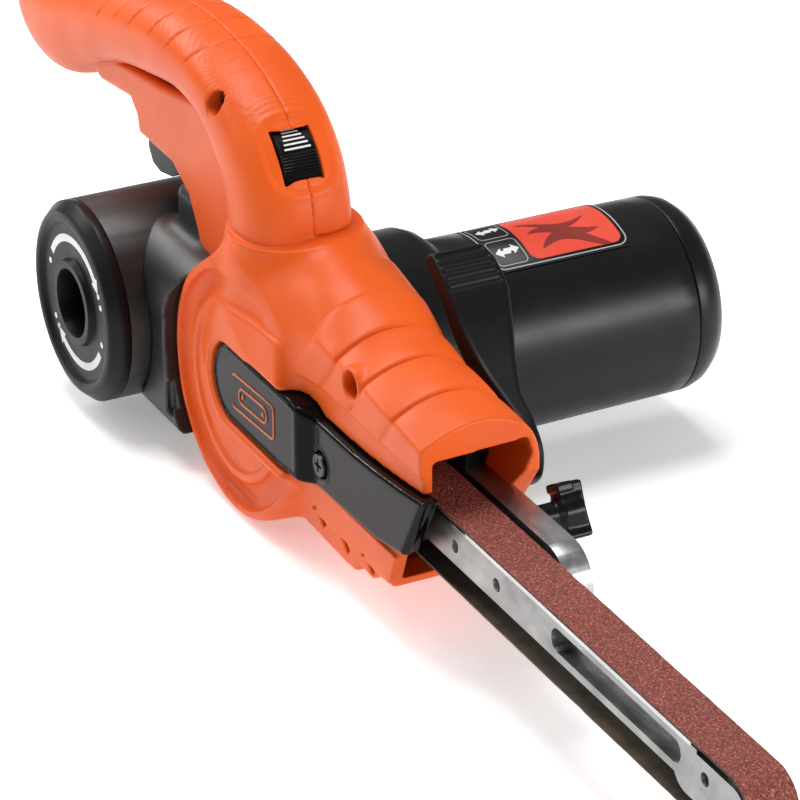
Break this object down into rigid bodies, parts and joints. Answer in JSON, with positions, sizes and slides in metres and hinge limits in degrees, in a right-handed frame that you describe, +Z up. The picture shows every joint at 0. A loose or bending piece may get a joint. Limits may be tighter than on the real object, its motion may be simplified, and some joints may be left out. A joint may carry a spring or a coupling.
{
  "type": "handheld belt sander",
  "caption": "Compact narrow-belt power file: drum housing with curved pistol grip, side motor, long sanding arm with tension lever and tracking knob, and a rear cyclone dust canister.",
  "frame": {"origin": "under the centre of the overall box, at its lowest point", "axes": "+X along the sanding arm towards its tip, +Y towards the motor's end, +Z up out of the grip"},
  "size_m": [0.4238, 0.155, 0.1243],
  "materials": {
    "orange": "satin",
    "black_plastic": "satin",
    "gloss_black": "satin",
    "label": "printed",
    "steel": "turned",
    "screw": "blackened",
    "aluminium": "satin",
    "copper": "plain",
    "iron": "laminated",
    "rubber": "matt",
    "abrasive": "gritted cloth"
  },
  "bodies": {
    "housing": {"housing_right": "orange", "housing_left": "orange", "housing_screws": "screw", "plate_screws": "screw", "bearing_plate": "aluminium", "spindle_bearing_inner": "steel", "spindle_bearing_outer": "steel", "motor_bearing_front": "steel", "motor_bearing_rear": "steel", "gearcase": "black_plastic", "motor_housing": "black_plastic", "motor_label": "label", "motor_end_cap": "black_plastic", "stator_core": "iron", "field_coils": "copper", "carbon_brushes": "rubber", "brush_holders": "copper", "timing_belt": "rubber", "switch_body": "black_plastic", "speed_module": "black_plastic", "dial_axle": "steel", "trigger_pin": "steel", "cord_gland": "rubber", "cord_clamp": "black_plastic", "carrier_guide": "black_plastic", "lever_pin": "steel", "dust_duct": "black_plastic"},
    "armature": {"armature_shaft": "steel", "armature_core": "iron", "armature_windings": "copper", "commutator": "copper", "motor_fan": "black_plastic", "motor_pulley": "black_plastic"},
    "drive": {"drive_spindle": "steel", "drive_roller": "steel", "driven_pulley": "black_plastic"},
    "carriage": {"arm_carrier": "aluminium", "tracking_pin": "steel"},
    "arm": {"arm_body": "aluminium", "platen": "steel", "idler_axle": "steel", "sanding_belt": "abrasive"},
    "idler": {"idler_roller": "steel", "idler_bearing": "steel"},
    "tension_lever": {"tension_lever": "black_plastic"},
    "tracking_knob": {"tracking_knob": "black_plastic", "tracking_screw": "steel"},
    "trigger": {"trigger": "black_plastic"},
    "speed_dial": {"speed_dial": "black_plastic"},
    "canister": {"canister_body": "black_plastic", "canister_end_cap": "black_plastic", "cyclone_cone": "black_plastic", "canister_seal": "rubber"},
    "belt_cover": {"belt_cover": "gloss_black", "cover_screw": "screw", "cover_badge": "gloss_black"}
  },
  "joints": [
    {"name": "motor_spin", "type": "hinge", "parent": "housing", "child": "armature", "pos_m": [-0.0379, 0.0155, 0.037], "axis": [0, 1, 0], "continuous": true},
    {"name": "drive_spin", "type": "hinge", "parent": "housing", "child": "drive", "pos_m": [0.0041, -0.0445, 0.037], "axis": [0, 1, 0], "continuous": true},
    {"name": "tension_lever_swing", "type": "hinge", "parent": "housing", "child": "tension_lever", "pos_m": [0.0481, -0.0195, 0.047], "axis": [0, 1, 0], "range_deg": [0, 35]},
    {"name": "arm_slide", "type": "slide", "parent": "housing", "child": "carriage", "axis": [1, 0, 0], "range_m": [-0.006, 0]},
    {"name": "arm_tracking_tilt", "type": "hinge", "parent": "carriage", "child": "arm", "pos_m": [0.0421, -0.0445, 0.037], "axis": [0, 0, 1], "range_deg": [-0.8, 0.8]},
    {"name": "idler_spin", "type": "hinge", "parent": "arm", "child": "idler", "pos_m": [0.2021, -0.0445, 0.037], "axis": [0, 1, 0], "continuous": true},
    {"name": "tracking_knob_turn", "type": "hinge", "parent": "carriage", "child": "tracking_knob", "pos_m": [0.0621, -0.0145, 0.037], "axis": [0, 1, 0], "range_deg": [-180, 180]},
    {"name": "trigger_pull", "type": "hinge", "parent": "housing", "child": "trigger", "pos_m": [-0.0909, -0.0435, 0.0835], "axis": [0, 1, 0], "range_deg": [0, 7], "stiffness_Nm_per_rad": 0.6, "springref_deg": -2.86},
    {"name": "speed_dial_turn", "type": "hinge", "parent": "housing", "child": "speed_dial", "pos_m": [-0.0398, -0.0445, 0.099], "axis": [0, 1, 0], "range_deg": [-70, 70]},
    {"name": "canister_release", "type": "slide", "parent": "housing", "child": "canister", "axis": [-1, 0, 0], "range_m": [0, 0.05]},
    {"name": "belt_cover_release", "type": "slide", "parent": "housing", "child": "belt_cover", "axis": [0, -1, 0], "range_m": [0, 0.025]}
  ],
  "couplings": [
    {"joint": "drive_spin", "follows": "motor_spin", "ratio": 0.72727},
    {"joint": "idler_spin", "follows": "motor_spin", "ratio": 0.72727},
    {"joint": "tension_lever_swing", "follows": "arm_slide", "rad_per_m": -101.81},
    {"joint": "arm_tracking_tilt", "follows": "tracking_knob_turn", "ratio": 0.0044444}
  ]
}
